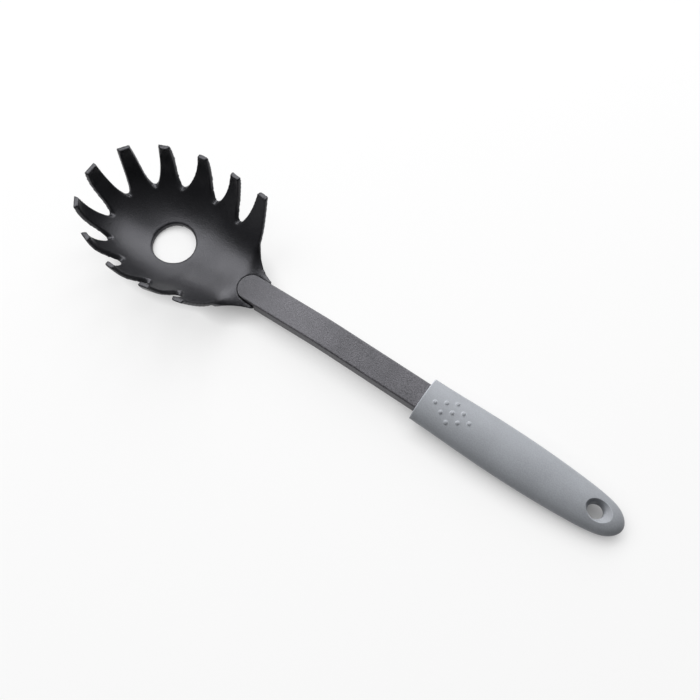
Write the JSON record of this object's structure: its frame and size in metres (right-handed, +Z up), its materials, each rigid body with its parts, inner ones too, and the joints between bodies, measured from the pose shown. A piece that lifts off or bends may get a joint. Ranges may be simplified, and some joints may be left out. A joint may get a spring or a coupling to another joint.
{
  "type": "pasta server",
  "caption": "Egg-shaped tined bowl with a round drain hole, on a slightly bent flat shank with a soft dotted grip and a hang hole.",
  "frame": {"origin": "centre of the outline seen from above, on the plane that the bowl and the grip lie on", "axes": "+X along the handle towards its tail, +Y across to the left of someone looking from the bowl to the tail, +Z up, out of the open bowl"},
  "size_m": [0.3206, 0.078, 0.0399],
  "materials": {
    "head": "satin black nylon",
    "shank": "fine-grained black filled nylon",
    "core": "plain dark polypropylene",
    "grip": "soft matt blue-grey skin"
  },
  "bodies": {
    "root": {"head": "head", "shank": "shank", "core": "core", "grip": "grip"}
  },
  "joints": []
}
